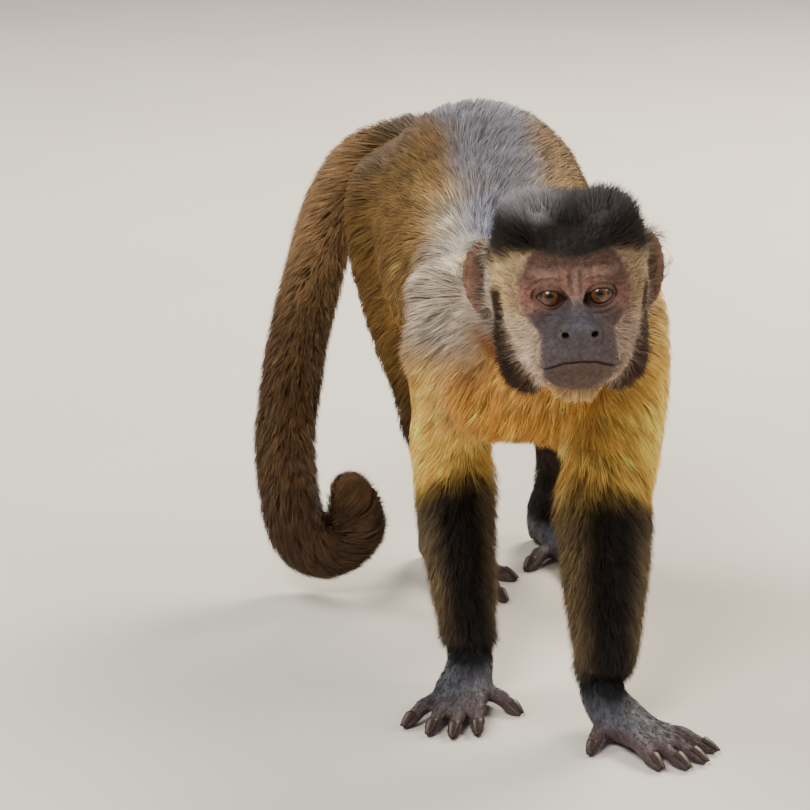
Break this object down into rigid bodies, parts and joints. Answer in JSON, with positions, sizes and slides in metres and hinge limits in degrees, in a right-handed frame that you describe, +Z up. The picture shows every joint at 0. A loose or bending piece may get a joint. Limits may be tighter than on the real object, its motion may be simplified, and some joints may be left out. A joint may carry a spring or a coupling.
{
  "type": "tufted capuchin monkey model",
  "caption": "Life-size museum model of a tufted capuchin monkey walking on all fours, its tail hooked down at one side.",
  "frame": {"origin": "on the floor, under the middle of the whole animal's box", "axes": "+Z up; the animal faces -Y, so +Y runs back along its body; its left side is at +X"},
  "size_m": [0.2278, 0.5066, 0.2915],
  "materials": {
    "coat_head": "short fur, cream face sides under a black-brown cap",
    "coat_body": "long fur, golden brown, greyer on the back",
    "coat_arm": "orange-gold fur",
    "coat_dark": "black-brown fur",
    "bare_skin": "dull wrinkled skin with sparse hair",
    "ear_skin": "thin pinkish brown skin with fine hair",
    "eye": "wet, glossy, amber brown iris"
  },
  "bodies": {
    "root": {"abdomen": "coat_body", "chest": "coat_body", "ear_left": "ear_skin", "ear_right": "ear_skin", "eye_left": "eye", "eye_right": "eye", "foot_left": "bare_skin", "foot_right": "bare_skin", "forearm_left": "coat_dark", "forearm_right": "coat_dark", "hand_left": "bare_skin", "hand_right": "bare_skin", "head": "coat_head", "neck": "coat_body", "rump": "coat_body", "shank_left": "coat_dark", "shank_right": "coat_dark", "tail_curl": "coat_dark", "tail_middle": "coat_dark", "tail_root": "coat_dark", "thigh_left": "coat_body", "thigh_right": "coat_body", "upper_arm_left": "coat_arm", "upper_arm_right": "coat_arm"}
  },
  "joints": []
}
